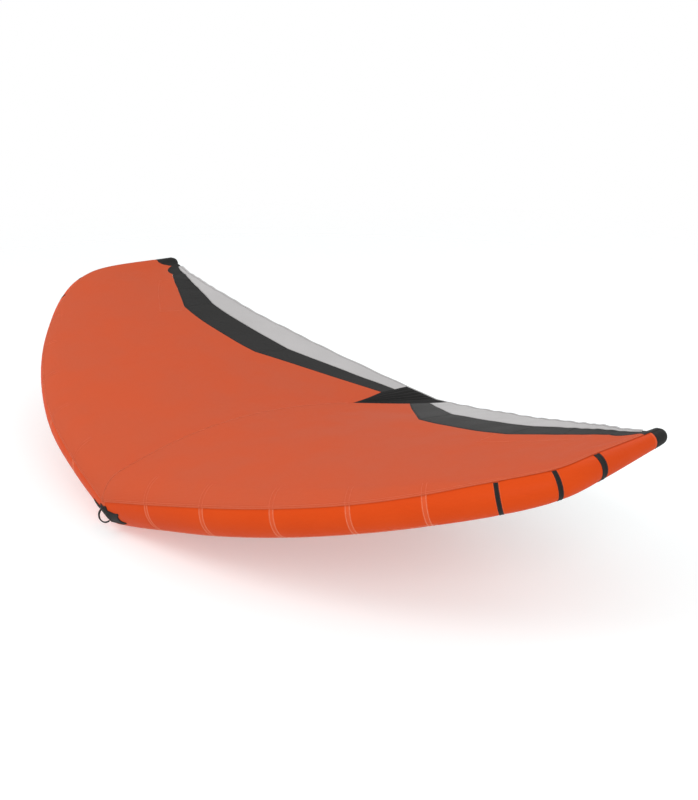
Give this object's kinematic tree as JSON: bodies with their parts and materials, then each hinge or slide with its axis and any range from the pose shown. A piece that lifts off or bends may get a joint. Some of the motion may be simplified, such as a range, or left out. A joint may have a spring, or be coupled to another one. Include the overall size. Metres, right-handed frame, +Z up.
{
  "type": "wingfoil wing",
  "caption": "Inflatable hand-held wing for wing foiling, with a curved tubular leading edge, a centre strut with grab handles, a cambered canopy and rear window panels.",
  "frame": {"origin": "centre of the bottom face of the box round the whole wing, in its held attitude", "axes": "+Z up, nose towards -Y and trailing edge towards +Y, wing tips along -X and +X"},
  "size_m": [3.454, 1.9594, 0.6336],
  "materials": {
    "sleeve_cloth": "woven polyester, satin",
    "canopy_cloth": "ripstop, satin",
    "black_cloth": "woven, matte",
    "window_cloth": "light ripstop, satin",
    "webbing": "webbing, matte",
    "bladder_film": "satin",
    "hard_plastic": "satin",
    "hose_rubber": "matte"
  },
  "bodies": {
    "wing": {"canopy_panel_left": "canopy_cloth", "canopy_panel_right": "canopy_cloth", "centre_patch": "black_cloth", "filling_hose": "hose_rubber", "filling_valve": "hard_plastic", "front_handle_anchor_aft": "webbing", "front_handle_anchor_fore": "webbing", "hose_clamp": "hard_plastic", "hose_port_leading_edge": "hard_plastic", "hose_port_strut": "hard_plastic", "leading_edge_bladder": "bladder_film", "leading_edge_panel_1_left": "sleeve_cloth", "leading_edge_panel_1_right": "sleeve_cloth", "leading_edge_panel_2_left": "sleeve_cloth", "leading_edge_panel_2_right": "sleeve_cloth", "leading_edge_panel_3_left": "sleeve_cloth", "leading_edge_panel_3_right": "sleeve_cloth", "leading_edge_panel_4_left": "sleeve_cloth", "leading_edge_panel_4_right": "sleeve_cloth", "leading_edge_panel_5_left": "sleeve_cloth", "leading_edge_panel_5_right": "sleeve_cloth", "leading_edge_panel_6_left": "sleeve_cloth", "leading_edge_panel_6_right": "sleeve_cloth", "leading_edge_panel_7_left": "sleeve_cloth", "leading_edge_panel_7_right": "sleeve_cloth", "leading_edge_panel_8_left": "sleeve_cloth", "leading_edge_panel_8_right": "sleeve_cloth", "leading_edge_panel_9_left": "sleeve_cloth", "leading_edge_panel_9_right": "sleeve_cloth", "nose_patch": "black_cloth", "rear_handle_anchor_aft": "webbing", "rear_handle_anchor_fore": "webbing", "strut_bladder": "bladder_film", "strut_end_cap": "black_cloth", "strut_panel_front": "sleeve_cloth", "strut_panel_middle": "sleeve_cloth", "strut_panel_rear": "sleeve_cloth", "strut_web": "sleeve_cloth", "tip_band_1_left": "black_cloth", "tip_band_1_right": "black_cloth", "tip_band_2_left": "black_cloth", "tip_band_2_right": "black_cloth", "tip_band_3_left": "black_cloth", "tip_band_3_right": "black_cloth", "tip_cap_left": "black_cloth", "tip_cap_right": "black_cloth", "tip_corner_left": "black_cloth", "tip_corner_right": "black_cloth", "trailing_band_left": "black_cloth", "trailing_band_right": "black_cloth", "trailing_edge_hem_left": "window_cloth", "trailing_edge_hem_right": "window_cloth", "window_panel_left": "window_cloth", "window_panel_right": "window_cloth"},
    "front_handle": {"front_handle_loop": "webbing"},
    "rear_handle": {"rear_handle_loop": "webbing"},
    "towing_loop": {"nose_loop": "webbing"},
    "screw_cap": {"valve_cap": "hard_plastic"},
    "pinch_lever": {"clamp_lever": "hard_plastic"}
  },
  "joints": [
    {"name": "front_handle_swing", "type": "hinge", "parent": "wing", "child": "front_handle", "pos_m": [0, -0.4377, 0.01858], "axis": [0, 0.9997, 0.0237], "range_deg": [-60, 60]},
    {"name": "rear_handle_swing", "type": "hinge", "parent": "wing", "child": "rear_handle", "pos_m": [0, 0.1816, 0.032], "axis": [0, 0.9995, 0.0324], "range_deg": [-60, 60]},
    {"name": "towing_loop_lean", "type": "hinge", "parent": "wing", "child": "towing_loop", "pos_m": [0, -0.94692, 0.07741], "axis": [0, 0.3987, -0.9171], "range_deg": [-55, 55]},
    {"name": "screw_cap_turn", "type": "hinge", "parent": "wing", "child": "screw_cap", "pos_m": [0.21339, -0.69639, 0.20197], "axis": [-0.1138, 0.9842, 0.1354], "range_deg": [0, 300]},
    {"name": "pinch_lever_open", "type": "hinge", "parent": "wing", "child": "pinch_lever", "pos_m": [0.15921, -0.60911, 0.13352], "axis": [0.9794, 0.202, 0], "range_deg": [0, 80]}
  ]
}
